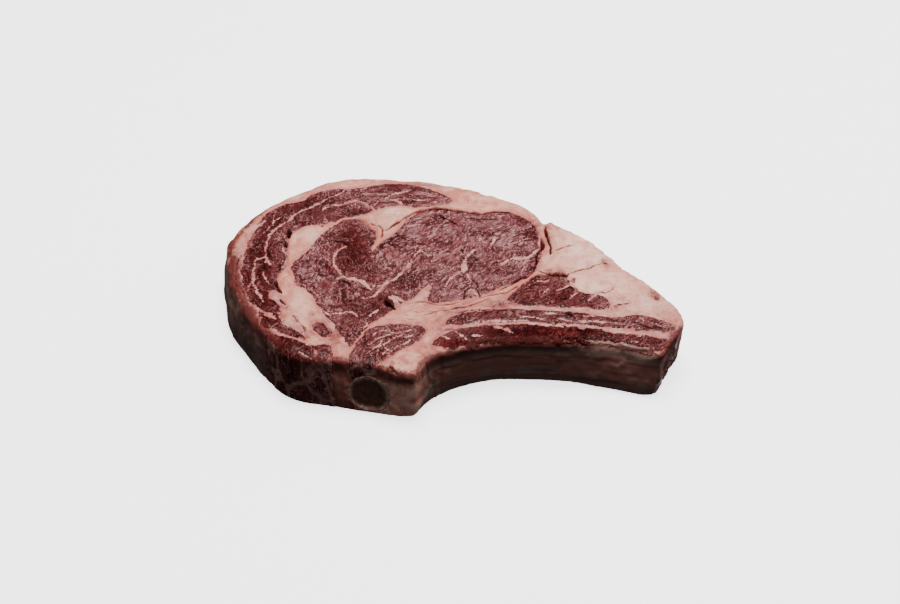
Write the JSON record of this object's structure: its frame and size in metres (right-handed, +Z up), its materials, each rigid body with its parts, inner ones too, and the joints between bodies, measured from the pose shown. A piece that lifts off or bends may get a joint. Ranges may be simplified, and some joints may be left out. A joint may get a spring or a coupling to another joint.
{
  "type": "raw bone-in beef rib steak",
  "caption": "Thick raw beef rib steak lying flat: marbled eye and cap muscles in a web of fat, with a sawn rib along its hollow inner side.",
  "frame": {"origin": "middle of the steak's box, on the base that it lies on", "axes": "+X along the rib from the backbone end to the tail, +Y from the rib's hollow inner side to the fat on the back, +Z up through the thickness"},
  "size_m": [0.2716, 0.1808, 0.0388],
  "materials": {
    "lean": "moist raw lean beef, satin, with fine pale marbling",
    "fat": "cold waxy fat, pinkish cream, softly glossy",
    "bone": "sawn rib with a pale rim round brown-red marrow"
  },
  "bodies": {
    "root": {"fat": "fat", "eye_muscle": "lean", "cap_muscle": "lean", "feather_muscle": "lean", "chine_end_muscle": "lean", "tip_muscle": "lean", "back_strap": "lean", "side_muscle": "lean", "rib_meat_outer": "lean", "rib_meat_inner": "lean", "rib_bone": "bone"}
  },
  "joints": []
}
